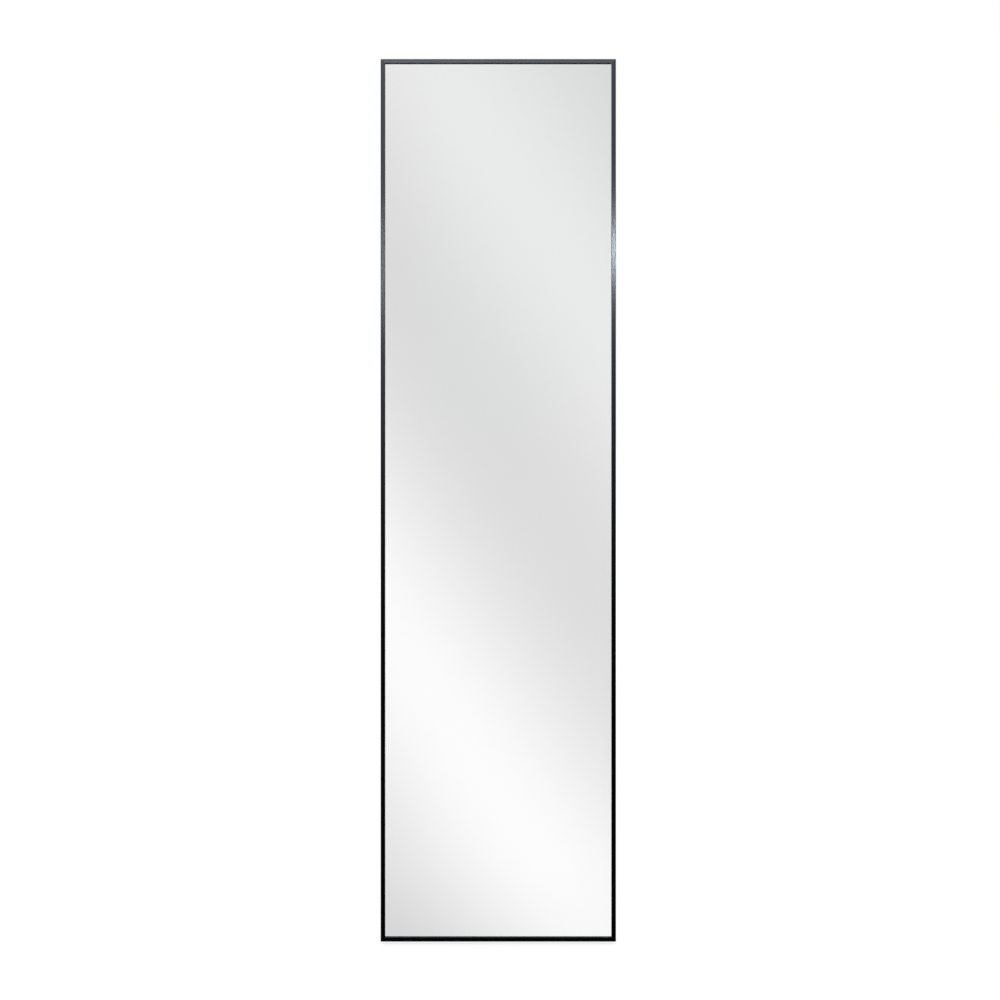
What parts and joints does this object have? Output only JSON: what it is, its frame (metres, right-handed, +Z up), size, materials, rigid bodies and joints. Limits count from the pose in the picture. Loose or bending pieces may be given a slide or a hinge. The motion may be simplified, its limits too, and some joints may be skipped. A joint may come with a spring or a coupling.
{
  "type": "leaning floor mirror",
  "caption": "Slim full-length floor mirror in a mitred black aluminium frame, leaning back on a fold-flat U-shaped tube stand, with swinging rings to hang it instead.",
  "frame": {"origin": "on the floor, in the middle of the space that the standing mirror takes up across X and Y", "axes": "+Z up, +X to the viewer's right, the mirror faces -Y and leans back towards +Y"},
  "size_m": [0.4, 0.3396, 1.4731],
  "materials": {
    "black_frame": "satin black powder coat on extruded aluminium, slightly blue sheen",
    "cast_key": "raw die casting, matt",
    "zinc_screw": "bright zinc plating",
    "black_screw": "blackened steel",
    "mirror": "float glass silvered on its back, polished",
    "film": "thin grey adhesive film",
    "foam": "white closed-cell foam",
    "board": "brown hardboard, smooth pressed face",
    "block": "black rubber",
    "black_steel": "satin black powder coat on steel",
    "plated_steel": "zinc-plated steel",
    "nylon": "natural nylon",
    "rubber": "matt black rubber",
    "bumper": "soft dark rubber"
  },
  "bodies": {
    "mirror": {"left_stile": "black_frame", "corner_key_bottom_left": "cast_key", "corner_key_top_left": "cast_key", "hinge_bracket_left": "black_steel", "pivot_pin_left": "plated_steel", "hanger_strap_left": "plated_steel", "foot_pad_left": "rubber", "right_stile": "black_frame", "corner_key_bottom_right": "cast_key", "corner_key_top_right": "cast_key", "hinge_bracket_right": "black_steel", "pivot_pin_right": "plated_steel", "hanger_strap_right": "plated_steel", "foot_pad_right": "rubber", "bottom_rail": "black_frame", "top_rail": "black_frame", "corner_screws": "black_screw", "hinge_screws": "black_screw", "hanger_screws": "zinc_screw", "mirror_glass": "mirror", "safety_film": "film", "foam_sheet": "foam", "backing_board": "board", "setting_blocks": "block", "pivot_washers": "nylon", "wall_bumpers": "bumper"},
    "stand": {"stand_tube": "black_steel", "stand_eye_left": "plated_steel", "stand_eye_right": "plated_steel", "stand_eye_pins": "plated_steel", "stand_sleeve_left": "rubber", "stand_sleeve_right": "rubber"},
    "ring_left": {"hanging_ring_left": "plated_steel"},
    "ring_right": {"hanging_ring_right": "plated_steel"}
  },
  "joints": [
    {"name": "stand_fold", "type": "hinge", "parent": "mirror", "child": "stand", "pos_m": [0, 0.0576, 0.98025], "axis": [1, 0, 0], "range_deg": [-17, 0]},
    {"name": "ring_left_swing", "type": "hinge", "parent": "mirror", "child": "ring_left", "pos_m": [-0.192, 0.12953, 1.27166], "axis": [1, 0, 0], "range_deg": [-11, 160]},
    {"name": "ring_right_swing", "type": "hinge", "parent": "mirror", "child": "ring_right", "pos_m": [0.192, 0.12953, 1.27166], "axis": [1, 0, 0], "range_deg": [-11, 160]}
  ]
}
